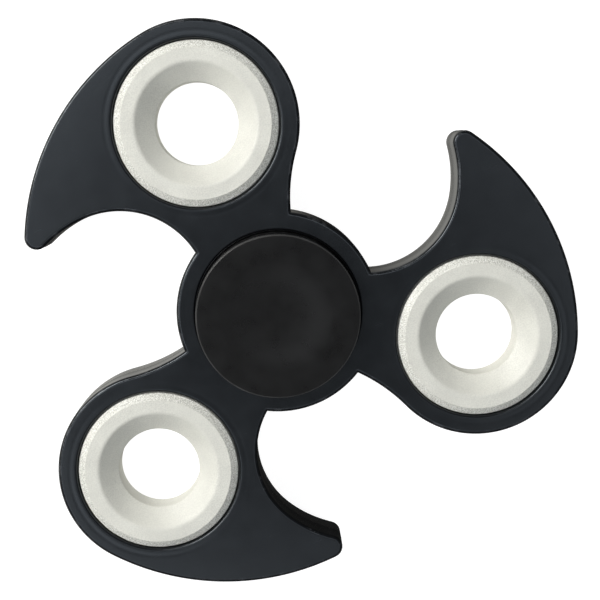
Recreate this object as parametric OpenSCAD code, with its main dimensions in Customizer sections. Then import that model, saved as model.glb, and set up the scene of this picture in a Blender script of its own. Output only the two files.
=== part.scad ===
// Three-armed fidget spinner: a moulded body with three hooked arms, a ring weight
// in each arm, a ball bearing in the hub and a finger cap pressed into each side of it.
// The spin axis is Z, the origin is its middle, and the first arm points along +Y.

/* [Body] */
// Thickness of the body between its two faces
body_h = 7; // [5:0.1:9]
// Distance from the spin axis to the centre of each weight
arm_r = 27.4; // [25:0.05:34]
// Plastic left round the bearing seat
hub_wall = 2.7; // [1.5:0.05:4]
// Plastic left round each weight seat
arm_wall = 2.7; // [1.5:0.05:4]
// Bevel at the mouths of the weight and bearing seats
seat_bevel = 0.3; // [0.1:0.05:0.6]

/* [Claws] */
// Radius of the long outer edge of a claw
claw_r = 33.8; // [28:0.1:40]
// Direction, from the weight's centre, where that edge begins
claw_start = 99; // [90:1:110]
// Direction, from the edge's own centre, where it ends at the tip
claw_end = 153.4; // [145:0.1:156]
// Rounding of the tip
tip_r = 1.6; // [1:0.1:2.4]
// Radius of the hook cut under the claw
hook_r = 11.75; // [9:0.05:13]
// Direction from the weight's centre to the hook's centre
hook_dir = 223; // [218:1:228]
// Radius of the hollow between the hub and the arm's other side
neck_r = 22.9; // [15:0.1:30]
// Direction from the spin axis to the corner where that hollow meets the hub
neck_dir = 59.5; // [55:0.5:64]

/* [Weights] */
// Outer diameter of a ring weight
weight_d = 22; // [18:0.1:27]
// Diameter of the hole through a ring weight
weight_bore = 11.1; // [8:0.1:13]
// Diameter of the funnel at its faces
funnel_d = 16.3; // [14:0.1:18]
// Depth of that funnel
funnel_h = 1.9; // [1:0.1:2.3]
// Rounding of the outer edges of a weight
weight_edge = 1; // [0.4:0.1:1.5]
// How far a weight stands above each face of the body
weight_proud = 0.2; // [0:0.05:0.5]
// Gap between a weight and its seat
weight_gap = 0.03; // [0.01:0.01:0.1]

/* [Bearing] */
// Outer diameter of the bearing
bearing_d = 22; // [19:0.1:27]
// Diameter of the bearing's bore
bearing_bore = 8; // [6:0.1:9]
// Width of both races
bearing_w = 7; // [6:0.1:9]
// Diameter of a ball
ball_d = 3.97; // [3.2:0.01:4.2]
// Gap all round a ball in its grooves
ball_play = 0.05; // [0.02:0.01:0.1]
// Distance from the balls' circle to the shoulder of either race
shoulder = 1.45; // [1.2:0.05:1.6]
// Width of the step that holds a shield in the outer race
shield_step = 0.7; // [0.4:0.05:1]
// Thickness of a shield
shield_t = 0.35; // [0.2:0.05:0.5]
// Depth of a shield's outer face below the race's face
shield_depth = 0.3; // [0.2:0.05:0.5]
// Gap between a shield and the turning inner race
shield_gap = 0.25; // [0.15:0.05:0.4]
// Gap between the outer race and the body's seat
bearing_gap = 0.02; // [0.01:0.01:0.1]
// Bevel on the corners of the races
race_bevel = 0.3; // [0.1:0.05:0.4]

/* [Cage] */
// Thickness of the strip that both cage halves are pressed from
cage_t = 0.4; // [0.3:0.05:0.5]
// Radial width of that strip
cage_w = 1.7; // [1.2:0.1:2]
// Gap between a ball and its pocket
pocket_gap = 0.08; // [0.05:0.01:0.15]
// Diameter of a rivet's shank
rivet_d = 0.6; // [0.4:0.05:0.8]
// Diameter of a rivet's heads
rivet_head_d = 1.1; // [0.9:0.05:1.2]
// Height of a rivet's heads
rivet_head_h = 0.3; // [0.2:0.05:0.4]

/* [Caps] */
// Diameter of a finger cap
cap_d = 21.8; // [18:0.1:26]
// Thickness of a cap's plate at its rim
cap_t = 3.2; // [1.6:0.1:4.5]
// Gap between a cap's plate and the body
cap_gap = 0.6; // [0.4:0.05:1.2]
// Rounding of a cap's outer edge
cap_edge = 0.6; // [0.3:0.05:0.8]
// Width of the flat rim round the finger dish
cap_rim = 2.5; // [0.6:0.1:4]
// Depth of the finger dish at its middle
dish_h = 0.5; // [0.3:0.05:1]
// Distance from the middle of the bearing to the end of a cap's stem
stem_gap = 0.2; // [0.1:0.05:1]

/* [Hidden] */
$fn = 96;
eps = 0.01;              // overlap that makes a cut or a join clean
flat = 0.01;             // farthest that a flat on the body's side may lie inside its arc
arms = 3;
balls = 7;

weight_r = weight_d / 2;
weight_h = body_h + 2 * weight_proud;
bearing_r = bearing_d / 2;
arm_end_r = weight_r + arm_wall;
hub_r = bearing_r + hub_wall;
track_r = (bearing_d + bearing_bore) / 4;   // circle of the balls' centres
ball_r = ball_d / 2;
shield_z = bearing_w / 2 - shield_depth - shield_t;
shield_r = track_r + shoulder + shield_step;
cap_z = max(body_h, bearing_w) / 2 + cap_gap;   // underside of a cap's plate
boss_r = track_r - shoulder - race_bevel;

function polar(r, a) = [r * cos(a), r * sin(a)];
function bearing_of(v) = atan2(v[1], v[0]);
// Where circles of radius p round a and radius q round b cross, on the right going a to b
function crossing(a, p, b, q) =
    let (d = norm(b - a), u = (b - a) / d, x = (p * p - q * q + d * d) / (2 * d))
    a + x * u + sqrt(max(p * p - x * x, 0)) * [u[1], -u[0]];

// Centres of the arcs that bound the first arm; neighbouring arcs are tangent
arm_c = [0, arm_r];
claw_c = arm_c - polar(claw_r - arm_end_r, claw_start);
tip_c = claw_c + polar(claw_r - tip_r, claw_end);
hook_c = arm_c + polar(arm_end_r + hook_r, hook_dir);
hook_top = hook_c + [0, hook_r];
tip_off = tip_c - hook_top;
// The underside of the claw: touches the hook at its top and runs out into the tip
under_r = (tip_off * tip_off - tip_r * tip_r) / (2 * (tip_r - tip_off[1]));
under_c = hook_top - [0, under_r];
neck_corner = polar(hub_r, neck_dir);
neck_c = crossing(neck_corner, neck_r, arm_c, arm_end_r + neck_r);
hook_corner = crossing([0, 0], hub_r, hook_c, hook_r);

function turned(points, a) =
    [for (p = points) [p[0] * cos(a) - p[1] * sin(a), p[0] * sin(a) + p[1] * cos(a)]];
// Points along an arc round c from direction a0 to a1, without its first one
function arc(c, r, a0, a1) =
    let (n = ceil(abs(a1 - a0) / (2 * acos(1 - flat / r))))
    [for (k = [1 : n]) c + polar(r, a0 + (a1 - a0) * k / n)];

// One arm's outline, counter-clockwise from the neck's corner to the next arm's
arm_outline = concat(
    arc(neck_c, neck_r, bearing_of(neck_corner - neck_c), bearing_of(arm_c - neck_c)),
    arc(arm_c, arm_end_r, bearing_of(neck_c - arm_c), claw_start),
    arc(claw_c, claw_r, claw_start, claw_end),
    arc(tip_c, tip_r, claw_end, 360 + bearing_of(under_c - tip_c)),
    arc(under_c, under_r, bearing_of(tip_c - under_c), 90),
    arc(hook_c, hook_r, 90, bearing_of(hook_corner - hook_c)),
    arc([0, 0], hub_r, bearing_of(hook_corner), neck_dir + 360 / arms));

// ---- shapes that are used more than once ----

// A bar in a turned section, from r0 to r1 and z0 to z1, its two outer corners rounded by f
module rounded_bar(r0, r1, z0, z1, f) {
    translate([r0, z0]) square([r1 - r0 - f, z1 - z0]);
    translate([r0, z0 + f]) square([r1 - r0, z1 - z0 - 2 * f]);
    for (z = [z0 + f, z1 - f]) translate([r1 - f, z]) circle(f);
}

// A bar in a turned section with all four corners bevelled by c
module bevelled_bar(r0, r1, h, c) {
    polygon([[r0 + c, -h / 2], [r1 - c, -h / 2], [r1, -h / 2 + c], [r1, h / 2 - c],
             [r1 - c, h / 2], [r0 + c, h / 2], [r0, h / 2 - c], [r0, -h / 2 + c]]);
}

// A round hole through the body, bevelled at both mouths
module seat(r, h, c) {
    cylinder(r = r, h = h + 2, center = true);
    for (side = [0, 1]) mirror([0, 0, side])
        translate([0, 0, h / 2 - c]) cylinder(r1 = r, r2 = r + c + eps, h = c + eps);
}

module at_arm(i) {
    rotate(i * 360 / arms) translate([0, arm_r, 0]) children();
}

module at_each_ball() {
    for (i = [0 : balls - 1]) rotate((i + 0.5) * 360 / balls) translate([0, track_r, 0]) children();
}

module back() {
    rotate([0, 180, 0]) children();
}

// ---- body ----

module body() {
    color("#24272b") difference() {
        linear_extrude(body_h, center = true)
            polygon([for (i = [0 : arms - 1]) each turned(arm_outline, i * 360 / arms)]);
        seat(bearing_r + bearing_gap, body_h, seat_bevel);
        for (i = [0 : arms - 1]) at_arm(i) seat(weight_r + weight_gap, body_h, seat_bevel);
    }
}

// ---- ring weights ----

module weight_ring(i) {
    color("#d9dbd2") at_arm(i - 1) rotate_extrude() difference() {
        rounded_bar(weight_bore / 2, weight_r, -weight_h / 2, weight_h / 2, weight_edge);
        for (side = [0, 1]) mirror([0, side]) polygon([
            [weight_bore / 2 - eps, weight_h / 2 - funnel_h], [weight_bore / 2, weight_h / 2 - funnel_h],
            [funnel_d / 2, weight_h / 2], [funnel_d / 2, weight_h / 2 + eps],
            [weight_bore / 2 - eps, weight_h / 2 + eps]]);
    }
}

// ---- bearing ----

module bearing_outer_race() {
    color("silver") rotate_extrude() difference() {
        bevelled_bar(track_r + shoulder, bearing_r, bearing_w, race_bevel);
        translate([track_r, 0]) circle(ball_r + ball_play);
        for (side = [0, 1]) mirror([0, side])
            translate([track_r, shield_z]) square([shield_r - track_r, bearing_w]);
    }
}

module bearing_inner_race() {
    color("silver") rotate_extrude() difference() {
        bevelled_bar(bearing_bore / 2, track_r - shoulder, bearing_w, race_bevel);
        translate([track_r, 0]) circle(ball_r + ball_play);
    }
}

module ball(i) {
    color("gainsboro") rotate((i - 1) * 360 / balls) translate([0, track_r, 0]) sphere(ball_r);
}

// One half of the cage: a flat strip with a domed pocket over each ball
module cage_half() {
    pocket_r = ball_r + pocket_gap;
    difference() {
        intersection() {
            rotate_extrude() translate([track_r - cage_w / 2, 0]) square([cage_w, ball_d]);
            union() {
                cylinder(r = bearing_r, h = cage_t);
                for (i = [0 : balls - 1])
                    rotate(i * 360 / balls) translate([0, track_r, 0]) sphere(pocket_r + cage_t);
            }
        }
        for (i = [0 : balls - 1])
            rotate(i * 360 / balls) translate([0, track_r, 0]) sphere(pocket_r);
        at_each_ball() cylinder(d = rivet_d, h = 3 * cage_t, center = true);
    }
}

module cage_rivets() {
    color("darkgray") at_each_ball() {
        cylinder(d = rivet_d, h = 2 * cage_t + rivet_head_h, center = true);
        for (side = [0, 1]) mirror([0, 0, side])
            translate([0, 0, cage_t]) cylinder(d = rivet_head_d, h = rivet_head_h);
    }
}

module shield() {
    r0 = track_r - shoulder + shield_gap;
    color("lightgray") rotate_extrude()
        translate([r0, shield_z]) square([shield_r - r0, shield_t]);
}

// ---- finger caps ----

module cap() {
    top = cap_z + cap_t;
    dish_r = cap_d / 2 - cap_edge - cap_rim;
    dish_ball_r = (dish_r * dish_r + dish_h * dish_h) / (2 * dish_h);
    color("#212121") difference() {
        rotate_extrude() {
            rounded_bar(0, cap_d / 2, cap_z, top, cap_edge);
            translate([0, bearing_w / 2]) square([boss_r, cap_z - bearing_w / 2 + eps]);
            polygon([[0, stem_gap], [bearing_bore / 2 - race_bevel, stem_gap],
                     [bearing_bore / 2, stem_gap + race_bevel], [bearing_bore / 2, bearing_w / 2 + eps],
                     [0, bearing_w / 2 + eps]]);
        }
        translate([0, 0, top - dish_h + dish_ball_r]) sphere(dish_ball_r, $fn = 360);
    }
}

body();
weight_ring(1);  // weight_ring_1
weight_ring(2);  // weight_ring_2
weight_ring(3);  // weight_ring_3
bearing_outer_race();
bearing_inner_race();
ball(1);  // ball_1
ball(2);  // ball_2
ball(3);  // ball_3
ball(4);  // ball_4
ball(5);  // ball_5
ball(6);  // ball_6
ball(7);  // ball_7
color("darkgray") cage_half();  // cage_front
color("darkgray") back() cage_half();  // cage_back
cage_rivets();
shield();  // shield_front
back() shield();  // shield_back
cap();  // cap_front
back() cap();  // cap_back
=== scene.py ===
import math
import bpy
import bmesh
from mathutils import Matrix, Vector, noise
from mathutils.geometry import delaunay_2d_cdt


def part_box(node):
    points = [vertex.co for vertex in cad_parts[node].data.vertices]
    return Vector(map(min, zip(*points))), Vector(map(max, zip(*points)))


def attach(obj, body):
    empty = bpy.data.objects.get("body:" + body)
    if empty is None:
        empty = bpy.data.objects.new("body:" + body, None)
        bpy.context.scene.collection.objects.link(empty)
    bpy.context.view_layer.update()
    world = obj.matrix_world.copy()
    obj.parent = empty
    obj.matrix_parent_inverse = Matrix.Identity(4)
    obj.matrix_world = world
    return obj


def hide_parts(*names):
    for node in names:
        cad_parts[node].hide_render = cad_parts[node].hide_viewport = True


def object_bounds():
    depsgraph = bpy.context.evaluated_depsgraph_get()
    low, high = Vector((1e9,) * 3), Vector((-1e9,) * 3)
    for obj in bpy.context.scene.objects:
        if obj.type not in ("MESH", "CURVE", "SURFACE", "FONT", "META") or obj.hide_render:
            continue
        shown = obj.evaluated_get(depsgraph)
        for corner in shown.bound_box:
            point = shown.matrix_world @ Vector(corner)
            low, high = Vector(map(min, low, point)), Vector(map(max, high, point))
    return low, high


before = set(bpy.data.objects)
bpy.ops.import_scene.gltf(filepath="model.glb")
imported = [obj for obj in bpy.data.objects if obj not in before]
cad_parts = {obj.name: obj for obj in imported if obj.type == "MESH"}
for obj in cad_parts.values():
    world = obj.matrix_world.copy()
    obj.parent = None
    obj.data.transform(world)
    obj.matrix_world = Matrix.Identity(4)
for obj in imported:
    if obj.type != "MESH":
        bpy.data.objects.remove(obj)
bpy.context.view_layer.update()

scene = bpy.context.scene
mm = 0.001          # everything below is worked out in millimetres and scaled once
weldGap = 0.002     # points closer than this become one
flatRun = 0.05      # narrow strip beside each rounding, so that flats shade flat
turnStep = 11       # degrees between the steps of a rounding
sharpAngle = 34     # degrees between two faces from which their edge stays sharp


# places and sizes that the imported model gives

def boxMm(node):
    low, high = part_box(node)
    return [round(v / mm, 2) for v in low], [round(v / mm, 2) for v in high]


def topOf(node):
    return boxMm(node)[1][2]


def radiusOf(node):
    return boxMm(node)[1][0]


ringLow, ringHigh = boxMm("weight_ring_1")
ballLow, ballHigh = boxMm("ball_1")
armR = round((ringLow[1] + ringHigh[1]) / 2, 2)      # spin axis to the middle of a weight
weightR = ringHigh[0]
trackR = round((ballLow[1] + ballHigh[1]) / 2, 2)    # spin axis to the middle of a ball
ballR = ballHigh[2]
faceZ = topOf("body")
raceR = radiusOf("bearing_outer_race")
armCount = sum(name.startswith("weight_ring_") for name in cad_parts)
ballCount = sum(name.startswith("ball_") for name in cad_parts)


# small geometry helpers, angles in degrees

def polar(r, angle):
    return Vector((r * math.cos(math.radians(angle)), r * math.sin(math.radians(angle))))


def heading(v):
    return math.degrees(math.atan2(v.y, v.x))


def turned(p, angle):
    return Vector((p[0], p[1])) @ Matrix.Rotation(-math.radians(angle), 2)


def crossing(a, p, b, q):     # of circle p round a and circle q round b, right of the way from a to b
    apart = (b - a).length
    ahead = (b - a) / apart
    along = (p * p - q * q + apart * apart) / (2 * apart)
    return a + along * ahead + math.sqrt(max(p * p - along * along, 0)) * Vector((ahead.y, -ahead.x))


def arcPoints(centre, r, start, end, steps):     # all but the first point
    return [centre + polar(r, start + (end - start) * k / steps) for k in range(1, steps + 1)]


def roundedProfile(corners, closed=True):     # corners (r, z, rounding), as seen in a section
    made = []
    count = len(corners)
    for k, (r, z, rounding) in enumerate(corners):
        here = Vector((r, z))
        if rounding == 0 or not (closed or 0 < k < count - 1):
            made.append(here)
            continue
        back = Vector(corners[k - 1][:2]) - here
        on = Vector(corners[(k + 1) % count][:2]) - here
        half = back.angle(on) / 2
        reach = rounding / math.tan(half)
        back.normalize()
        on.normalize()
        centre = here + (back + on).normalized() * rounding / math.sin(half)
        first = heading(here + back * reach - centre)
        sweep = (heading(here + on * reach - centre) - first + 180) % 360 - 180
        steps = max(2, math.ceil(abs(sweep) / turnStep))
        made.append(here + back * (reach + flatRun))
        made += [centre + polar(rounding, first + sweep * n / steps) for n in range(steps + 1)]
        made.append(here + on * (reach + flatRun))
    return made


def bridge(bm, lower, upper, closed=True):     # quads between two rows of points, or a fan to one point
    count = max(len(lower), len(upper))
    for k in range(count if closed else count - 1):
        corners = []
        for row, at in ((lower, k), (lower, k + 1), (upper, k + 1), (upper, k)):
            point = row[at % len(row)]
            if point not in corners:
                corners.append(point)
        if len(corners) > 2:
            bm.faces.new(corners)


def revolve(profile, segments, centre=(0, 0), closed=True):
    bm = bmesh.new()
    rows = []
    for r, z in profile:
        if r < weldGap:
            rows.append([bm.verts.new((centre[0], centre[1], z))])
            continue
        spokes = [polar(r, 360 * k / segments) for k in range(segments)]
        rows.append([bm.verts.new((centre[0] + p.x, centre[1] + p.y, z)) for p in spokes])
    for lower, upper in zip(rows, rows[1:]):
        bridge(bm, lower, upper)
    if closed:
        bridge(bm, rows[-1], rows[0])
    return bm


def makePiece(name, bm, sharpFrom=sharpAngle):
    bmesh.ops.remove_doubles(bm, verts=bm.verts, dist=weldGap)
    bmesh.ops.recalc_face_normals(bm, faces=bm.faces)
    bmesh.ops.scale(bm, vec=(mm, mm, mm), verts=bm.verts)
    mesh = bpy.data.meshes.new(name)
    bm.to_mesh(mesh)
    bm.free()
    mesh.shade_smooth()
    mesh.set_sharp_from_angle(angle=math.radians(sharpFrom))
    piece = bpy.data.objects.new(name, mesh)
    scene.collection.objects.link(piece)
    return piece


def flipped(bm):     # the same shape for the back of the toy, turned over about the Y axis
    bmesh.ops.rotate(bm, verts=bm.verts, cent=(0, 0, 0), matrix=Matrix.Rotation(math.pi, 3, "Y"))
    return bm


def settle(piece, body, slot, *nodes):
    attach(piece, body)
    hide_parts(*nodes)


# geometry nodes: copies of one sector, turned about the spin axis and welded into one piece

def buildCopiesTree():
    tree = bpy.data.node_groups.new("turnedCopies", "GeometryNodeTree")
    sockets = tree.interface
    sockets.new_socket("Sector", in_out="INPUT", socket_type="NodeSocketGeometry")
    ids = {}
    for label, kind in (("Copies", "NodeSocketInt"), ("Step angle", "NodeSocketFloat"),
                        ("Weld distance", "NodeSocketFloat"), ("Finish", "NodeSocketMaterial")):
        ids[label] = sockets.new_socket(label, in_out="INPUT", socket_type=kind).identifier
    sockets.new_socket("Whole", in_out="OUTPUT", socket_type="NodeSocketGeometry")
    add = tree.nodes.new
    given = add("NodeGroupInput")
    points = add("GeometryNodePoints")
    index = add("GeometryNodeInputIndex")
    angle = add("ShaderNodeMath")
    angle.operation = "MULTIPLY"
    turn = add("ShaderNodeCombineXYZ")
    copies = add("GeometryNodeInstanceOnPoints")
    weld = add("GeometryNodeMergeByDistance")
    real = add("GeometryNodeRealizeInstances")
    paint = add("GeometryNodeSetMaterial")
    result = add("NodeGroupOutput")
    for k, node in enumerate(tree.nodes):
        node.location = (180 * k, 0)
    join = tree.links.new
    join(given.outputs["Copies"], points.inputs["Count"])
    join(index.outputs["Index"], angle.inputs[0])
    join(given.outputs["Step angle"], angle.inputs[1])
    join(angle.outputs["Value"], turn.inputs["Z"])
    join(points.outputs["Points"], copies.inputs["Points"])
    join(given.outputs["Sector"], copies.inputs["Instance"])
    join(turn.outputs["Vector"], copies.inputs["Rotation"])
    join(copies.outputs["Instances"], real.inputs["Geometry"])
    join(real.outputs["Geometry"], weld.inputs["Geometry"])
    join(given.outputs["Weld distance"], weld.inputs["Distance"])
    join(weld.outputs["Geometry"], paint.inputs["Geometry"])
    join(given.outputs["Finish"], paint.inputs["Material"])
    join(paint.outputs["Geometry"], result.inputs["Whole"])
    return tree, ids


copiesTree, copiesIds = buildCopiesTree()


def turnCopies(piece, count, finish, sharpFrom=sharpAngle):
    copier = piece.modifiers.new("turnedCopies", "NODES")
    copier.node_group = copiesTree
    copier[copiesIds["Copies"]] = count
    copier[copiesIds["Step angle"]] = 2 * math.pi / count
    copier[copiesIds["Weld distance"]] = weldGap * mm
    copier[copiesIds["Finish"]] = finish
    depsgraph = bpy.context.evaluated_depsgraph_get()
    whole = bpy.data.meshes.new_from_object(piece.evaluated_get(depsgraph), depsgraph=depsgraph)
    piece.modifiers.remove(copier)
    piece.data = whole
    whole.shade_smooth()
    whole.set_sharp_from_angle(angle=math.radians(sharpFrom))


# finishes

def newFinish(name, metallic=0.0, specular=0.5, tintOfGloss=(1, 1, 1)):
    finish = bpy.data.materials.new(name)
    finish.use_nodes = True
    shader = finish.node_tree.nodes["Principled BSDF"]
    shader.inputs["Metallic"].default_value = metallic
    shader.inputs["Specular IOR Level"].default_value = specular
    shader.inputs["Specular Tint"].default_value = (*tintOfGloss, 1)
    place = finish.node_tree.nodes.new("ShaderNodeTexCoord")
    place.name = "place"
    return finish


def addNode(finish, kind, **settings):
    node = finish.node_tree.nodes.new(kind)
    for key, value in settings.items():
        setattr(node, key, value)
    return node


def wire(finish, source, target):
    finish.node_tree.links.new(source, target)


def grain(finish, size, detail, stretch=(1, 1, 1)):     # noise with lumps of a size in mm, and its octaves
    mapping = addNode(finish, "ShaderNodeMapping")
    mapping.inputs["Scale"].default_value = stretch
    lumps = addNode(finish, "ShaderNodeTexNoise")
    lumps.inputs["Scale"].default_value = 1 / (size * mm)
    lumps.inputs["Detail"].default_value = detail
    wire(finish, finish.node_tree.nodes["place"].outputs["Object"], mapping.inputs["Vector"])
    wire(finish, mapping.outputs["Vector"], lumps.inputs["Vector"])
    return lumps.outputs["Fac"]


def spread(finish, value, low, high, start=0.3, end=0.7):     # takes start..end of a pattern to low..high
    ranger = addNode(finish, "ShaderNodeMapRange")
    ranger.inputs["From Min"].default_value = start
    ranger.inputs["From Max"].default_value = end
    ranger.inputs["To Min"].default_value = low
    ranger.inputs["To Max"].default_value = high
    wire(finish, value, ranger.inputs["Value"])
    return ranger.outputs["Result"]


def sums(finish, *values):
    total = values[0]
    for value in values[1:]:
        adder = addNode(finish, "ShaderNodeMath", operation="ADD")
        wire(finish, total, adder.inputs[0])
        wire(finish, value, adder.inputs[1])
        total = adder.outputs["Value"]
    return total


def times(finish, first, second):
    product = addNode(finish, "ShaderNodeMath", operation="MULTIPLY")
    wire(finish, first, product.inputs[0])
    wire(finish, second, product.inputs[1])
    return product.outputs["Value"]


def mark(finish, name):     # a value painted on the piece's own points
    reader = addNode(finish, "ShaderNodeAttribute", attribute_name=name)
    return reader.outputs["Fac"]


def tint(finish, value, tones):     # tones (position, colour)
    ramp = addNode(finish, "ShaderNodeValToRGB")
    stops = ramp.color_ramp.elements
    while len(stops) < len(tones):
        stops.new(0.5)
    for stop, (position, colour) in zip(stops, tones):
        stop.position = position
        stop.color = (*colour, 1)
    wire(finish, value, ramp.inputs["Fac"])
    wire(finish, ramp.outputs["Color"], finish.node_tree.nodes["Principled BSDF"].inputs["Base Color"])


def shine(finish, value):
    wire(finish, value, finish.node_tree.nodes["Principled BSDF"].inputs["Roughness"])


def relief(finish, *layers):     # layers (pattern, height in mm), from coarse to fine
    normal = None
    for value, height in layers:
        bump = addNode(finish, "ShaderNodeBump")
        bump.inputs["Strength"].default_value = 1.0
        bump.inputs["Distance"].default_value = height * mm
        wire(finish, value, bump.inputs["Height"])
        if normal:
            wire(finish, normal, bump.inputs["Normal"])
        normal = bump.outputs["Normal"]
    wire(finish, normal, finish.node_tree.nodes["Principled BSDF"].inputs["Normal"])


def rings(finish, step, detail=2.0):     # turning marks: noise that changes only with the way from the axis
    apart = addNode(finish, "ShaderNodeSeparateXYZ")
    wire(finish, finish.node_tree.nodes["place"].outputs["Object"], apart.inputs["Vector"])
    flatten = addNode(finish, "ShaderNodeCombineXYZ")
    wire(finish, apart.outputs["X"], flatten.inputs["X"])
    wire(finish, apart.outputs["Y"], flatten.inputs["Y"])
    length = addNode(finish, "ShaderNodeVectorMath", operation="LENGTH")
    wire(finish, flatten.outputs["Vector"], length.inputs[0])
    marks = addNode(finish, "ShaderNodeTexNoise", noise_dimensions="1D")
    marks.inputs["Scale"].default_value = 1 / (step * mm)
    marks.inputs["Detail"].default_value = detail
    wire(finish, length.outputs["Value"], marks.inputs["W"])
    return marks.outputs["Fac"]


# in the looks below a pattern is (size of its lumps in mm, octaves), and heights are in mm

plasticLook = {
    # the lighter edge colour below is partly wear and partly a painted highlight that brightens the outline's
    # edge lines
    "dark": (0.0022, 0.0024, 0.0029), "light": (0.0042, 0.0046, 0.0054), "rubbedAndHighlight": (0.034, 0.035, 0.038),
    "cloud": (9.0, 4.0), "lightAt": 0.5, "wearAndHighlight": (1.4, 5.0), "wearAndHighlightRange": (0.35, 0.7), "edgePolish": 0.07,
    "peel": (0.55, 2.0), "peelHeight": 0.0024, "fine": (0.09, 3.0), "fineHeight": 0.0012,
    "rough": (0.21, 0.26), "smear": (3.0, 5.0), "specular": 0.46, "gloss": (0.84, 0.92, 1.0),
    "scuffLength": 9.0, "scuffWidth": 0.12, "scuffDetail": 2.0, "scuffRange": (0.62, 0.78), "scuffRise": 0.03,
}


def bodyFinish():
    look = plasticLook
    finish = newFinish("mouldedBlackPlastic", specular=look["specular"], tintOfGloss=look["gloss"])
    # the marked outline edges are lightened, partly as wear and partly as a painted highlight on the edge
    # lines
    edge = mark(finish, "edgeWearAndHighlight")
    wearAndHighlight = times(finish, edge, spread(finish, grain(finish, *look["wearAndHighlight"]), 0.0, 1.0, *look["wearAndHighlightRange"]))
    cloud = spread(finish, grain(finish, *look["cloud"]), 0.0, look["lightAt"])
    tint(finish, sums(finish, cloud, times(finish, wearAndHighlight, wearAndHighlight)),
         [(0.0, look["dark"]), (look["lightAt"], look["light"]), (1.0, look["rubbedAndHighlight"])])
    narrowed = (1, look["scuffLength"] / look["scuffWidth"], 1)
    scuff = grain(finish, look["scuffLength"], look["scuffDetail"], narrowed)
    scuffs = spread(finish, scuff, 0.0, look["scuffRise"], *look["scuffRange"])
    base = spread(finish, grain(finish, *look["smear"]), *look["rough"])
    gloss = spread(finish, edge, 0.0, -look["edgePolish"], 0.0, 1.0)
    shine(finish, sums(finish, base, scuffs, gloss))
    relief(finish, (grain(finish, *look["peel"]), look["peelHeight"]),
           (grain(finish, *look["fine"]), look["fineHeight"]))
    return finish


capLook = {
    # the lighter rim colour below is a painted highlight that brightens the cap's edge line
    "dark": (0.0032, 0.0030, 0.0030), "light": (0.0048, 0.0045, 0.0045), "rubbedAndHighlight": (0.060, 0.060, 0.060),
    "cloud": (4.0, 2.0), "lightAt": 0.3, "edgePolish": 0.13, "specular": 0.22,
    "rough": (0.26, 0.35), "smear": (2.2, 2.0), "ringStep": 0.9, "polish": 0.01,
    "broad": (0.8, 2.0), "broadHeight": 0.0014, "fine": (0.14, 3.0), "fineHeight": 0.0014,
}


def capFinish():
    look = capLook
    finish = newFinish("satinBlackPlastic", specular=look["specular"])
    edge = mark(finish, "edgeWearAndHighlight")
    # painted highlight: the marked rim corner is lightened so its edge line shows brighter
    paintedEdgeHighlight = spread(finish, edge, 0.0, 1.0 - look["lightAt"], 0.0, 1.0)
    tint(finish, sums(finish, spread(finish, grain(finish, *look["cloud"]), 0.0, look["lightAt"]), paintedEdgeHighlight),
         [(0.0, look["dark"]), (look["lightAt"], look["light"]), (1.0, look["rubbedAndHighlight"])])
    polish = spread(finish, rings(finish, look["ringStep"]), -look["polish"], look["polish"])
    gloss = spread(finish, edge, 0.0, -look["edgePolish"], 0.0, 1.0)
    shine(finish, sums(finish, spread(finish, grain(finish, *look["smear"]), *look["rough"]), polish, gloss))
    relief(finish, (grain(finish, *look["broad"]), look["broadHeight"]),
           (grain(finish, *look["fine"]), look["fineHeight"]))
    return finish


paintLook = {
    "pit": (0.50, 0.50, 0.46), "shade": (0.66, 0.655, 0.60), "light": (0.75, 0.745, 0.68),
    "fleck": (0.90, 0.90, 0.86), "shadeAt": 0.4, "lightAt": 0.6,
    "patch": (5.0, 3.0), "patchRange": (0.10, 0.30), "cloud": (3.5, 5.0), "cloudRange": (0.42, 0.58),
    "speckle": (0.17, 2.0), "speckleRange": (-0.5, 0.5), "speckleFrom": (0.32, 0.68),
    "rough": (0.38, 0.52), "smear": (0.6, 4.0), "specular": 0.5,
    "coarse": (0.22, 2.0), "coarseHeight": 0.022, "fine": (0.16, 3.0), "fineHeight": 0.008,
}


def weightFinish():
    look = paintLook
    finish = newFinish("castSilverPaint", specular=look["specular"])
    patches = spread(finish, grain(finish, *look["patch"]), *look["patchRange"])
    cast = sums(finish, mark(finish, "castRim"), patches)
    speckle = spread(finish, grain(finish, *look["speckle"]), *look["speckleRange"], *look["speckleFrom"])
    cloud = spread(finish, grain(finish, *look["cloud"]), *look["cloudRange"])
    tint(finish, sums(finish, cloud, times(finish, cast, speckle)),
         [(0.0, look["pit"]), (look["shadeAt"], look["shade"]), (look["lightAt"], look["light"]),
          (1.0, look["fleck"])])
    shine(finish, spread(finish, grain(finish, *look["smear"]), *look["rough"]))
    relief(finish, (times(finish, cast, grain(finish, *look["coarse"])), look["coarseHeight"]),
           (grain(finish, *look["fine"]), look["fineHeight"]))
    return finish


steelLook = {     # dark and light tone, roughness, step and height of the turning marks
    # the bearing steel tones are darkened as painted shade, so the race edge seen under the cap reads as
    # shadow
    "shadeDarkenedBearingSteel": ((0.13, 0.13, 0.135), (0.20, 0.20, 0.205), (0.26, 0.36), 0.05, 0.002),
    "polishedBallSteel": ((0.52, 0.52, 0.54), (0.66, 0.66, 0.68), (0.05, 0.10), 0.4, 0.0003),
    "pressedStripSteel": ((0.38, 0.38, 0.37), (0.55, 0.55, 0.53), (0.24, 0.38), 0.12, 0.003),
}
steelGrain = {
    "cloud": (1.8, 5.0), "smear": (0.9, 4.0), "markRough": 0.05, "fine": (0.06, 3.0), "fineHeight": 0.0006,
}


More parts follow.
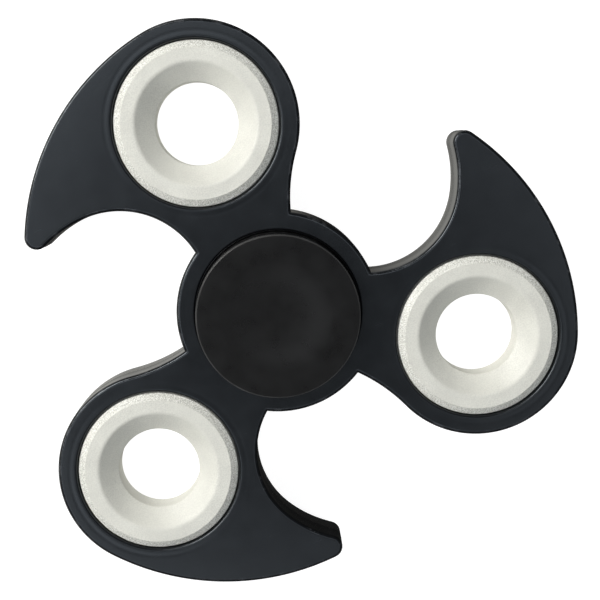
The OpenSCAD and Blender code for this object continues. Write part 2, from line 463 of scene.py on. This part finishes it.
def steelFinish(name):
    look = steelGrain
    dark, light, rough, markStep, markHeight = steelLook[name]
    finish = newFinish(name, metallic=1.0)
    tint(finish, spread(finish, grain(finish, *look["cloud"]), 0.0, 1.0), [(0.0, dark), (1.0, light)])
    turning = rings(finish, markStep)
    smear = spread(finish, grain(finish, *look["smear"]), *rough)
    shine(finish, sums(finish, smear, spread(finish, turning, 0.0, look["markRough"])))
    relief(finish, (turning, markHeight), (grain(finish, *look["fine"]), look["fineHeight"]))
    return finish


bodyPlastic = bodyFinish()
capPlastic = capFinish()
weightPaint = weightFinish()
bearingSteel = steelFinish("shadeDarkenedBearingSteel")
ballSteel = steelFinish("polishedBallSteel")
pressedSteel = steelFinish("pressedStripSteel")
print("finishes ready")


# body: one arm with a third of the hub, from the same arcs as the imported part, then turned three times

bodyLook = {
    "hubWall": 2.7, "armWall": 2.7,     # plastic round the bearing and round the weights
    "clawR": 33.8, "clawStart": 99, "clawEnd": 153.4, "tipR": 1.6,     # long outer edge and its tip
    "hookR": 11.75, "hookDir": 223,     # round cut under the claw
    "neckR": 22.9, "neckDir": 59.5,     # hollow on the arm's other side
    "edge": 0.5, "wornAndHighlightShare": 0.8,      # rounding of the outline, and the share of it that gets the lighter edge colour, partly wear and partly painted highlight
    "partingWidth": 0.12, "partingRise": 0.025,
    "seatGap": 0.07, "seatStep": 1.3, "seatSlope": 0.1, "mouth": 0.42,
    "lipWidth": 0.9, "lipDepth": 0.008, "lipStart": 0.15, "lipSteps": 8,
    "chord": 0.42, "seatSteps": 168, "hubSteps": 60, "spokeSteps": 3, "seedGap": 1.1, "seedRoom": 0.6,
}


def bodyArcs():
    look = bodyLook
    hubOut = raceR + look["hubWall"]
    lobeOut = weightR + look["armWall"]
    hubC = Vector((0, 0))
    armC = Vector((0, armR))
    clawC = armC - polar(look["clawR"] - lobeOut, look["clawStart"])
    tipC = clawC + polar(look["clawR"] - look["tipR"], look["clawEnd"])
    hookC = armC + polar(lobeOut + look["hookR"], look["hookDir"])
    hookTop = hookC + Vector((0, look["hookR"]))
    off = tipC - hookTop
    underR = (off.length_squared - look["tipR"] ** 2) / (2 * (look["tipR"] - off.y))
    underC = hookTop - Vector((0, underR))
    neckC = crossing(polar(hubOut, look["neckDir"]), look["neckR"], armC, lobeOut + look["neckR"])

    def arcs(inset):     # centre, radius, start, end; hollows grow with the inset and rounds shrink
        corner = crossing(neckC, look["neckR"] + inset, hubC, hubOut - inset)
        notch = crossing(hubC, hubOut - inset, hookC, look["hookR"] + inset)
        return corner, [
            (neckC, look["neckR"] + inset, heading(corner - neckC), heading(armC - neckC)),
            (armC, lobeOut - inset, heading(neckC - armC), look["clawStart"]),
            (clawC, look["clawR"] - inset, look["clawStart"], look["clawEnd"]),
            (tipC, look["tipR"] - inset, look["clawEnd"], 360 + heading(underC - tipC)),
            (underC, underR + inset, heading(tipC - underC), 90),
            (hookC, look["hookR"] + inset, 90, heading(notch - hookC)),
            (hubC, hubOut - inset, heading(notch), heading(corner) + 360 / armCount),
        ]
    return arcs


def outlineLoop(arcs, steps, inset):
    corner, parts = arcs(inset)
    points = [corner]
    for (centre, r, start, end), count in zip(parts, steps):
        points += arcPoints(centre, r, start, end, count)
    return points


def roundOver(size):     # inset and drop of the points round an outer edge, from the face to the wall
    steps = math.ceil(90 / turnStep)
    quarter = [90 * k / steps for k in range(steps + 1)]
    return [(size * (1 - math.sin(math.radians(a))), size * (1 - math.cos(math.radians(a)))) for a in quarter]


def mirrored(layers):     # the same layers again for the lower half, from the middle down
    return layers + [(inset, -z) for inset, z in reversed(layers)]


def seatLayers(seatR, mouth, lip):     # radius and height down the wall of a seat
    look = bodyLook
    layers = []
    if lip:
        start = seatR + mouth + look["lipStart"] + look["lipWidth"]
        steps = look["lipSteps"]
        for k in range(steps + 1):
            dip = look["lipDepth"] * (1 - math.cos(2 * math.pi * k / steps)) / 2
            layers.append((start - look["lipWidth"] * k / steps, faceZ - dip))
    layers.append((seatR + mouth + flatRun, faceZ))
    layers += [(seatR + inset, faceZ - drop) for inset, drop in roundOver(mouth)]
    layers.append((seatR, faceZ - mouth - flatRun))
    layers.append((seatR, faceZ - look["seatStep"]))
    layers.append((seatR - look["seatGap"], faceZ - look["seatStep"] - look["seatSlope"]))
    return mirrored(layers)


def fillFlat(rim, hole, seedGap):     # triangles between the rim and a round hole, with evenly spread points
    hub = Vector((0, armR))
    holeR = (hole[0] - hub).length
    inside = holeR * math.cos(math.pi / len(hole))
    lowX, highX = min(p.x for p in rim), max(p.x for p in rim)
    lowY, highY = min(p.y for p in rim), max(p.y for p in rim)
    rowGap = seedGap * math.sin(math.pi / 3)
    room = seedGap * bodyLook["seedRoom"]
    seeds = []
    for row in range(math.ceil((highY - lowY) / rowGap)):
        for column in range(math.ceil((highX - lowX) / seedGap)):
            shift = 0.5 * (row % 2)
            seed = Vector((lowX + (column + shift) * seedGap, lowY + row * rowGap))
            if (seed - hub).length < holeR + room:
                continue
            if min((seed - p).length_squared for p in rim) > room ** 2:
                seeds.append(seed)
    count, holeCount = len(rim), len(hole)
    edges = [(k, (k + 1) % count) for k in range(count)]
    edges += [(count + k, count + (k + 1) % holeCount) for k in range(holeCount)]
    points, _, triangles = delaunay_2d_cdt(rim + hole + seeds, edges, [], 1, weldGap / 10)[:3]
    middles = [sum((points[k] for k in t), Vector((0, 0))) / 3 for t in triangles]
    return points, [t for t, middle in zip(triangles, middles) if (middle - hub).length > inside]


def buildBody():
    look = bodyLook
    arcs = bodyArcs()
    steps = []
    for _, r, start, end in arcs(0)[1]:
        length = abs(end - start) * math.radians(1) * r
        steps.append(max(3, math.ceil(length / look["chord"])))
    edge = look["edge"]
    layers = [(edge + flatRun, faceZ)] + [(inset, faceZ - drop) for inset, drop in roundOver(edge)]
    layers += [(0, faceZ - edge - flatRun), (0, look["partingWidth"])]
    layers.append((-look["partingRise"], look["partingWidth"] / 4))     # the mould's parting line
    layers = mirrored(layers)
    bm = bmesh.new()
    wearAndHighlight = bm.verts.layers.float.new("edgeWearAndHighlight")

    def row(points, z):
        return [bm.verts.new((p.x, p.y, z)) for p in points]

    outline = [outlineLoop(arcs, steps, inset) for inset, z in layers]
    rows = [row(points, z) for points, (inset, z) in zip(outline, layers)]
    for upper, lower in zip(rows, rows[1:]):
        bridge(bm, upper, lower, closed=False)
    rim = outline[0]
    start = heading(rim[0])
    hubWall = seatLayers(raceR + look["seatGap"], look["mouth"], False)
    hubAngles = [start + 360 / armCount * k / look["hubSteps"] for k in range(look["hubSteps"] + 1)]
    hubRows = [row([polar(r, a) for a in hubAngles], z) for r, z in hubWall]
    for upper, lower in zip(hubRows, hubRows[1:]):
        bridge(bm, upper, lower, closed=False)
    ringWall = seatLayers(weightR + look["seatGap"], look["mouth"], True)
    ringAngles = [360 * k / look["seatSteps"] for k in range(look["seatSteps"])]
    ringRows = [row([Vector((0, armR)) + polar(r, a) for a in ringAngles], z) for r, z in ringWall]
    for upper, lower in zip(ringRows, ringRows[1:]):
        bridge(bm, upper, lower)
    hubEdge = [polar(hubWall[0][0], a) for a in hubAngles]
    spoke = [rim[0].lerp(hubEdge[0], k / look["spokeSteps"]) for k in range(1, look["spokeSteps"])]
    border = rim + [turned(p, 360 / armCount) for p in spoke] + hubEdge[::-1] + spoke[::-1]
    hole = [Vector((0, armR)) + polar(ringWall[0][0], a) for a in ringAngles]
    points, triangles = fillFlat(border, hole, look["seedGap"])
    for z in (faceZ, -faceZ):
        corners = row(points, z)
        for t in triangles:
            bm.faces.new([corners[k] for k in t])
        bmesh.ops.delete(bm, geom=[v for v in corners if not v.link_faces], context="VERTS")
    # marks the outer part of each edge rounding for the lighter colour: partly wear, partly painted highlight
    for points, (inset, z) in zip(rows, layers):
        if faceZ - abs(z) < edge * look["wornAndHighlightShare"] and inset < edge:
            for v in points:
                v[wearAndHighlight] = 1.0
    sector = makePiece("spinner_body", bm)
    turnCopies(sector, armCount, bodyPlastic)
    return sector


body = buildBody()
settle(body, "rotor", "body_plastic", "body")
print("body", len(body.data.polygons), "faces")


# weights

weightLook = {
    "bore": 5.55, "funnelR": 8.17, "funnelDepth": 1.95, "funnelRound": 0.9, "lipRound": 0.25,
    "crestR": 9.96, "crestRound": 0.12, "shoulderR": 10.90, "shoulderDrop": 0.61, "shoulderRound": 0.25,
    "skirtDrop": 0.98, "skirtRound": 0.25, "segments": 600, "fillStep": 0.11,
    "castInside": 0.3,     # the rough casting starts this far inside the crest
    "fadeInside": 0.1, "fadeWidth": 0.3, "smoothMark": 0.3, "moveFrom": 0.31,
    "grainSize": 0.26, "grainHeight": 0.016, "broadSize": 1.6, "broadHeight": 0.010,
}


def shortSteps(here, there, step):     # here, and points on the way to there that are at most a step apart
    parts = max(1, math.ceil((there - here).length / step))
    return [here.lerp(there, k / parts) for k in range(parts)]


def buildWeight(index):
    look = weightLook
    top = ringHigh[2]
    upper = [
        (look["bore"], top - look["funnelDepth"], look["lipRound"]),
        (look["funnelR"], top, look["funnelRound"]),
        (look["crestR"], top, look["crestRound"]),
        (look["shoulderR"], top - look["shoulderDrop"], look["shoulderRound"]),
        (weightR, top - look["skirtDrop"], look["skirtRound"]),
    ]
    section = upper + [(r, -z, rounding) for r, z, rounding in reversed(upper)]
    profile = roundedProfile(section)
    outline = []
    for here, there in zip(profile, profile[1:] + profile[:1]):
        rough = here.x > look["crestR"] - look["castInside"] and abs(here.y) > top - look["skirtDrop"]
        outline += shortSteps(here, there, look["fillStep"]) if rough else [here]
    centre = turned((0, armR), index * 360 / armCount)
    bm = revolve(outline, look["segments"], centre)
    bmesh.ops.remove_doubles(bm, verts=bm.verts, dist=weldGap)
    bmesh.ops.recalc_face_normals(bm, faces=bm.faces)
    bm.normal_update()
    rimMark = bm.verts.layers.float.new("castRim")
    moves = {}
    for v in bm.verts:
        r = (Vector(v.co[:2]) - centre).length
        rise = (r - look["crestR"] + look["fadeInside"]) / look["fadeWidth"]
        drop = (top - abs(v.co.z)) / look["skirtDrop"]
        v[rimMark] = max(0.0, min(1.0, rise)) * (1.0 if drop < 1 else look["smoothMark"])
        if v[rimMark] > look["moveFrom"]:
            fine = noise.noise(v.co / look["grainSize"]) * look["grainHeight"]
            broad = noise.noise(v.co / look["broadSize"]) * look["broadHeight"]
            moves[v] = v.normal * (fine + broad - look["grainHeight"] / 2) * v[rimMark]
    for v, move in moves.items():
        v.co += move
    piece = makePiece("cast_weight_%d" % (index + 1), bm)
    piece.data.materials.append(weightPaint)
    return piece


for index in range(armCount):
    weight = buildWeight(index)
    settle(weight, "rotor", "weight_paint", "weight_ring_%d" % (index + 1))
print("weights", len(weight.data.polygons), "faces each")


# finger caps

capShape = {
    "gap": 0.6, "edge": 0.32, "bevel": 0.22, "bevelDrop": 0.14, "bevelRound": 0.06, "polishAndHighlightFrom": 0.01,
    "underRound": 0.192, "dishR": 8.1, "dish": 0.5, "dishSteps": 28, "dishBend": 1.45,
    "coreIn": 6.7, "coreOut": 9.7, "coreDepth": 0.9, "coreRound": 0.3, "coreLip": 0.15,
    "boss": 5.75, "bossRound": 0.1, "stem": 4.0, "stemRoot": 0.05, "stemLead": 0.35, "stemRound": 0.15,
    "segments": 256,
}


def buildCap(name, back):
    look = capShape
    low, high = boxMm("cap_front")
    under = faceZ + look["gap"]
    outer, top = high[0], high[2]
    dishR = look["dishR"]
    hollow = []
    for k in range(look["dishSteps"]):     # a bowl, steepest some way out and easing into the rim
        share = k / look["dishSteps"]
        fall = (1 + math.cos(math.pi * share ** look["dishBend"])) / 2
        hollow.append((dishR * share, top - look["dish"] * fall, 0))
    raceTop = topOf("bearing_inner_race")
    section = hollow + [
        (dishR, top, 0),
        (outer - look["bevel"], top, look["bevelRound"]),
        (outer, top - look["bevelDrop"], look["bevelRound"]),
        (outer, under, look["underRound"]),
        (look["coreOut"], under, look["coreLip"]),
        (look["coreOut"], under + look["coreDepth"], look["coreRound"]),
        (look["coreIn"], under + look["coreDepth"], look["coreRound"]),
        (look["coreIn"], under, look["coreLip"]),
        (look["boss"], under, look["coreLip"]),
        (look["boss"], raceTop, look["bossRound"]),
        (look["stem"], raceTop, look["stemRoot"]),
        (look["stem"], low[2] + look["stemLead"], look["stemRound"]),
        (look["stem"] - look["stemLead"], low[2], look["bossRound"]),
        (0, low[2], 0),
    ]
    bm = revolve(roundedProfile(section, closed=False), look["segments"], closed=False)
    polishAndHighlight = bm.verts.layers.float.new("edgeWearAndHighlight")
    for v in bm.verts:     # the corner between the face and the side, lightened there as a painted highlight and made glossier
        fallen = top - v.co.z
        if look["polishAndHighlightFrom"] < fallen < look["edge"] and v.co.xy.length > outer - look["edge"]:
            v[polishAndHighlight] = 1.0
    piece = makePiece(name, flipped(bm) if back else bm)
    piece.data.materials.append(capPlastic)
    return piece


for side in ("front", "back"):
    cap = buildCap("finger_cap_" + side, side == "back")
    settle(cap, "grip", "cap_plastic", "cap_" + side)
print("caps", len(cap.data.polygons), "faces each")


# bearing

bearingShape = {
    "shoulder": 1.45, "play": 0.05, "bore": 4.0, "corner": 0.3, "outerCorner": 0.6,
    "shieldStep": 0.7, "shieldDepth": 0.65, "stepCorner": 0.12, "stepRoot": 0.08,
    "segments": 192, "grooveSteps": 14, "ballCuts": 15,
}


def raceway(side):     # the ball groove in a race from the front down, side 1 outwards and -1 inwards
    look = bearingShape
    r = ballR + look["play"]
    reach = math.degrees(math.acos(look["shoulder"] / r))
    angles = [reach - 2 * reach * k / look["grooveSteps"] for k in range(look["grooveSteps"] + 1)]
    return [(trackR + side * r * math.cos(math.radians(a)), r * math.sin(math.radians(a)), 0) for a in angles]


def buildRaces():
    look = bearingShape
    half = topOf("bearing_outer_race")
    inner = trackR + look["shoulder"]
    step = inner + look["shieldStep"]
    stepZ = half - look["shieldDepth"]
    front = [
        (raceR, half, look["outerCorner"]),
        (step, half, look["stepCorner"]),
        (step, stepZ, look["stepRoot"]),
        (inner, stepZ, look["stepCorner"]),
    ]
    back = [(r, -z, rounding) for r, z, rounding in reversed(front)]
    outerRace = makePiece("race_outer", revolve(roundedProfile(front + raceway(1) + back), look["segments"]))
    settle(outerRace, "rotor", "bearing_steel", "bearing_outer_race")
    edge = trackR - look["shoulder"]
    front = [(look["bore"], half, look["corner"]), (edge, half, look["corner"])]
    back = [(r, -z, rounding) for r, z, rounding in reversed(front)]
    innerRace = makePiece("race_inner", revolve(roundedProfile(front + raceway(-1) + back), look["segments"]))
    settle(innerRace, "grip", "bearing_steel", "bearing_inner_race")
    for race in (outerRace, innerRace):
        race.data.materials.append(bearingSteel)


buildRaces()


def buildBall(index):     # a finely divided cube blown up to a ball, so that no face is a sliver
    bm = bmesh.new()
    bmesh.ops.create_cube(bm, size=2)
    bmesh.ops.subdivide_edges(bm, edges=bm.edges, cuts=bearingShape["ballCuts"], use_grid_fill=True)
    middle = turned((0, trackR), index * 360 / ballCount)
    for v in bm.verts:
        even = Vector([math.tan(c * math.pi / 4) for c in v.co])
        v.co = even.normalized() * ballR + Vector((middle.x, middle.y, 0))
    piece = makePiece("steel_ball_%d" % (index + 1), bm)
    piece.data.materials.append(ballSteel)
    return piece


for index in range(ballCount):
    settle(buildBall(index), "ball_%d_body" % (index + 1), "ball_steel", "ball_%d" % (index + 1))
print("races and balls")


# cage: a wavy pressed strip for each side, riveted between the balls

cageShape = {
    "thickness": 0.38, "width": 1.66, "gap": 0.09, "bend": 0.35, "lift": 0.01,
    "acrossSteps": 6, "crownSteps": 10, "bendSteps": 4, "flatSteps": 3, "sharpFrom": 50,
    "rivetR": 0.3, "shankRound": 0.04, "rivetSegments": 20,
    "headR": 0.54, "headHeight": 0.26, "headFoot": 0.02, "domeSteps": 6,
}


def stripPath(pocketR, half):     # the strip's middle along half a pocket, from the crown to the rivet
    look = cageShape
    level = look["lift"] + look["thickness"] / 2
    bend = look["bend"] + look["thickness"] / 2
    away = math.sqrt((pocketR + bend) ** 2 - (level + bend) ** 2)
    lean = math.degrees(math.atan2(level + bend, away))
    crown, flat = look["crownSteps"], look["flatSteps"]
    path = [polar(pocketR, 90 - (90 - lean) * k / crown) for k in range(crown + 1)]
    path += arcPoints(Vector((away, level + bend)), bend, 180 + lean, 270, look["bendSteps"])
    return path + [Vector((away + (half - away) * k / flat, level)) for k in range(1, flat + 1)]


def buildCageHalf(name, back):
    look = cageShape
    bm = bmesh.new()
    columns = []
    for k in range(look["acrossSteps"] + 1):
        across = (k / look["acrossSteps"] - 0.5) * look["width"]
        pocketR = math.sqrt((ballR + look["gap"]) ** 2 - across ** 2) + look["thickness"] / 2
        r = trackR + across
        half = r * math.pi / ballCount
        path = stripPath(pocketR, half)
        path = [Vector((-p.x, p.y)) for p in reversed(path[1:])] + path
        slopes = [(b - a).normalized() for a, b in zip(path[:1] + path[:-1], path[1:] + path[-1:])]
        for side in (1, -1):
            line = []
            for p, slope in zip(path, slopes):
                at = p + Vector((-slope.y, slope.x)) * side * look["thickness"] / 2
                spot = polar(r, 90 - math.degrees(at.x / r))
                line.append(bm.verts.new((spot.x, spot.y, max(at.y, 0.0))))
            columns.append(line)
    upper, lower = columns[0::2], columns[1::2]
    for sheet in (upper, lower):
        for a, b in zip(sheet, sheet[1:]):
            bridge(bm, a, b, closed=False)
    for k in (0, -1):
        bridge(bm, upper[k], lower[k], closed=False)
    sector = makePiece(name, flipped(bm) if back else bm)
    turnCopies(sector, ballCount, pressedSteel, look["sharpFrom"])
    return sector


for side in ("front", "back"):
    strip = buildCageHalf("cage_strip_" + side, side == "back")
    settle(strip, "cage", "pressed_steel", "cage_" + side)


def buildRivets():
    look = cageShape
    sheet = look["thickness"] + look["lift"]
    foot = sheet + look["headFoot"]
    dome = []
    for k in range(look["domeSteps"] + 1):
        a = math.radians(90 * k / look["domeSteps"])
        dome.append((look["headR"] * math.sin(a), foot + look["headHeight"] * math.cos(a), 0))
    half = dome + [(look["headR"], sheet, 0), (look["rivetR"], sheet, look["shankRound"])]
    section = half + [(r, -z, rounding) for r, z, rounding in reversed(half)]
    spot = turned((0, trackR), 180 / ballCount)
    bm = revolve(roundedProfile(section, closed=False), look["rivetSegments"], spot, closed=False)
    rivets = makePiece("cage_rivet_set", bm)
    turnCopies(rivets, ballCount, pressedSteel)
    settle(rivets, "cage", "pressed_steel", "cage_rivets")


buildRivets()


# shields: pressed discs with a stiffening bead and a turned-down inner lip

shieldShape = {
    "play": 0.25, "rimPlay": 0.02, "bead": 0.12, "beadIn": 7.2, "beadOut": 8.6, "ramp": 0.3, "rampShift": 0.1,
    "lip": 0.12, "lipRun": 0.4, "lipRunBack": 0.5, "lipBend": 0.25, "lipBendBack": 0.15,
    "beadBend": 0.2, "backBend": 0.1, "cut": 0.05, "segments": 192,
}


def buildShield(name, back):
    look = shieldShape
    low, high = boxMm("shield_front")
    inner = trackR - bearingShape["shoulder"] + look["play"]
    rim = high[0] - look["rimPlay"]
    bead = look["bead"]
    section = [
        (inner, high[2] - look["lip"], look["backBend"]),
        (inner + look["lipRun"], high[2], look["lipBend"]),
        (look["beadIn"], high[2], look["beadBend"]),
        (look["beadIn"] + look["ramp"], high[2] - bead, look["beadBend"]),
        (look["beadOut"] - look["ramp"], high[2] - bead, look["beadBend"]),
        (look["beadOut"], high[2], look["beadBend"]),
        (rim, high[2], look["backBend"]),
        (rim, low[2], look["cut"]),
        (look["beadOut"] + look["rampShift"], low[2], look["backBend"]),
        (look["beadOut"] - look["ramp"] + look["rampShift"], low[2] - bead, look["backBend"]),
        (look["beadIn"] + look["ramp"] - look["rampShift"], low[2] - bead, look["backBend"]),
        (look["beadIn"] - look["rampShift"], low[2], look["backBend"]),
        (inner + look["lipRunBack"], low[2], look["lipBendBack"]),
        (inner, low[2] - look["lip"], look["cut"]),
    ]
    bm = revolve(roundedProfile(section), look["segments"])
    piece = makePiece(name, flipped(bm) if back else bm)
    piece.data.materials.append(pressedSteel)
    return piece


for side in ("front", "back"):
    settle(buildShield("shield_disc_" + side, side == "back"), "rotor", "pressed_steel", "shield_" + side)
print("cage, rivets and shields")


# floor, light and camera

floorLook = {     # size in metres
    "size": 60.0, "glow": 0.93, "colour": (0.35, 0.35, 0.35), "specular": 0.1,
    "rough": (0.6, 0.7), "fibre": (4.0, 3.0),
}


def buildFloor():
    look = floorLook
    low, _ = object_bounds()
    half = look["size"] / 2
    bm = bmesh.new()
    corners = ((-1, -1), (1, -1), (1, 1), (-1, 1))
    bm.faces.new([bm.verts.new((x * half, y * half, low.z)) for x, y in corners])
    mesh = bpy.data.meshes.new("floor")
    bm.to_mesh(mesh)
    bm.free()
    floor = bpy.data.objects.new("floor", mesh)
    scene.collection.objects.link(floor)
    paper = newFinish("whitePaper", specular=look["specular"])
    shader = paper.node_tree.nodes["Principled BSDF"]
    shader.inputs["Base Color"].default_value = (*look["colour"], 1)
    shader.inputs["Emission Color"].default_value = (1, 1, 1, 1)
    shader.inputs["Emission Strength"].default_value = look["glow"]
    shine(paper, spread(paper, grain(paper, *look["fibre"]), *look["rough"]))
    mesh.materials.append(paper)
    floor.visible_glossy = False     # the tent's dim underside is what the walls mirror


buildFloor()

lampColour = (1.0, 0.985, 0.95)
lampLook = {     # azimuth, elevation, distance, width and height in metres, strength in watts
    "key": (125, 38, 0.60, 0.38, 0.20, 2.35),
    "leftWing": (157, 37, 0.60, 0.34, 0.07, 0.62),
    "rightWing": (93, 37, 0.60, 0.34, 0.07, 0.50),
}


def buildLamps():
    for name, (azimuth, elevation, distance, width, height, strength) in lampLook.items():
        lamp = bpy.data.lights.new(name, "AREA")
        lamp.shape = "ELLIPSE"
        lamp.size = width
        lamp.size_y = height
        lamp.energy = strength
        lamp.color = lampColour
        flat = polar(distance * math.cos(math.radians(elevation)), azimuth)
        place = Vector((flat.x, flat.y, distance * math.sin(math.radians(elevation))))
        holder = bpy.data.objects.new(name, lamp)
        holder.location = place
        holder.rotation_euler = (-place).to_track_quat("-Z", "Y").to_euler()
        scene.collection.objects.link(holder)


buildLamps()

tentLook = {     # a white tent: dim sides, a panel overhead and a soft dark hole in it, directions in degrees
    "side": 0.135, "horizon": (95, 85), "panel": 3.6, "panelFrom": 29, "panelTo": 20,
    "hole": 0.974, "holeFrom": 23.4, "holeTo": 9,
    "poleTilt": 8.4, "poleAzimuth": -111, "lean": 1.22, "leanAzimuth": 141, "leastBright": 0.2,
    "colour": (0.93, 0.965, 1.0),
    "below": 0.22, "belowLean": 2.2, "belowFrom": 0.03, "belowTo": 0.85, "belowColour": (1.0, 0.985, 0.92),
}


def buildTent():
    look = tentLook
    world = bpy.data.worlds.new("lightTent")
    world.use_nodes = True
    scene.world = world
    tree = world.node_tree
    background = tree.nodes["Background"]
    direction = tree.nodes.new("ShaderNodeTexCoord")

    def towards(vector):
        product = tree.nodes.new("ShaderNodeVectorMath")
        product.operation = "DOT_PRODUCT"
        product.inputs[1].default_value = vector
        tree.links.new(direction.outputs["Generated"], product.inputs[0])
        return product.outputs["Value"]

    def fade(value, start, end, low, high):
        ranger = tree.nodes.new("ShaderNodeMapRange")
        ranger.interpolation_type = "SMOOTHSTEP"
        ranger.inputs["From Min"].default_value = math.cos(math.radians(start))
        ranger.inputs["From Max"].default_value = math.cos(math.radians(end))
        ranger.inputs["To Min"].default_value = low
        ranger.inputs["To Max"].default_value = high
        tree.links.new(value, ranger.inputs["Value"])
        return ranger.outputs["Result"]

    def combine(operation, first, second):
        node = tree.nodes.new("ShaderNodeMath")
        node.operation = operation
        for socket, value in zip(node.inputs, (first, second)):
            if isinstance(value, float):
                socket.default_value = value
            else:
                tree.links.new(value, socket)
        return node.outputs["Value"]

    flat = polar(math.sin(math.radians(look["poleTilt"])), look["poleAzimuth"])
    fromPole = towards((flat.x, flat.y, math.cos(math.radians(look["poleTilt"]))))
    panel = fade(fromPole, look["panelFrom"], look["panelTo"], 0.0, look["panel"])
    hole = fade(fromPole, look["holeFrom"], look["holeTo"], 1.0, 1.0 - look["hole"])
    leaning = polar(1, look["leanAzimuth"])
    lean = towards((leaning.x, leaning.y, 0))
    slope = combine("ADD", combine("MULTIPLY", lean, look["lean"]), 1.0)
    slope = combine("MAXIMUM", slope, look["leastBright"])
    bright = combine("MULTIPLY", combine("MULTIPLY", panel, hole), slope)
    above = combine("ADD", bright, look["side"])
    below = combine("ADD", combine("MULTIPLY", lean, look["belowLean"]), look["below"])
    below = combine("MINIMUM", combine("MAXIMUM", below, look["belowFrom"]), look["belowTo"])
    blend = fade(towards((0, 0, 1)), *look["horizon"], 0.0, 1.0)
    mixed = tree.nodes.new("ShaderNodeMix")
    mixed.data_type = "FLOAT"
    tint = tree.nodes.new("ShaderNodeMix")
    tint.data_type = "RGBA"
    for node in (mixed, tint):
        tree.links.new(blend, node.inputs["Factor"])
    tree.links.new(below, mixed.inputs["A"])
    tree.links.new(above, mixed.inputs["B"])
    colours = [socket for socket in tint.inputs if socket.type == "RGBA"]
    colours[0].default_value = (*look["belowColour"], 1)
    colours[1].default_value = (*look["colour"], 1)
    tree.links.new(tint.outputs[2], background.inputs["Color"])
    tree.links.new(mixed.outputs[0], background.inputs["Strength"])


buildTent()

cameraLook = {     # lens, aim and distance in millimetres, the rest in degrees
    "lens": 71.0, "aim": (3.30, -0.04, 0.0), "distance": 162.9,
    "azimuth": 76.6, "elevation": 81.9, "roll": 23.3, "clipStart": 0.01,
}


def buildCamera():
    look = cameraLook
    flat = polar(math.cos(math.radians(look["elevation"])), look["azimuth"])
    back = Vector((flat.x, flat.y, math.sin(math.radians(look["elevation"]))))
    level = (Vector((0, 1, 0)) - back * back.y).normalized()
    side = level.cross(back)
    roll = math.radians(look["roll"])
    up = level * math.cos(roll) + side * math.sin(roll)
    camera = bpy.data.cameras.new("camera")
    camera.lens = look["lens"]
    camera.clip_start = look["clipStart"]
    holder = bpy.data.objects.new("camera", camera)
    place = (Vector(look["aim"]) + back * look["distance"]) * mm
    turn = Matrix((up.cross(back), up, back)).transposed()
    holder.matrix_world = Matrix.Translation(place) @ turn.to_4x4()
    scene.collection.objects.link(holder)
    scene.camera = holder


buildCamera()
scene.view_settings.view_transform = "Standard"
print("stage ready")
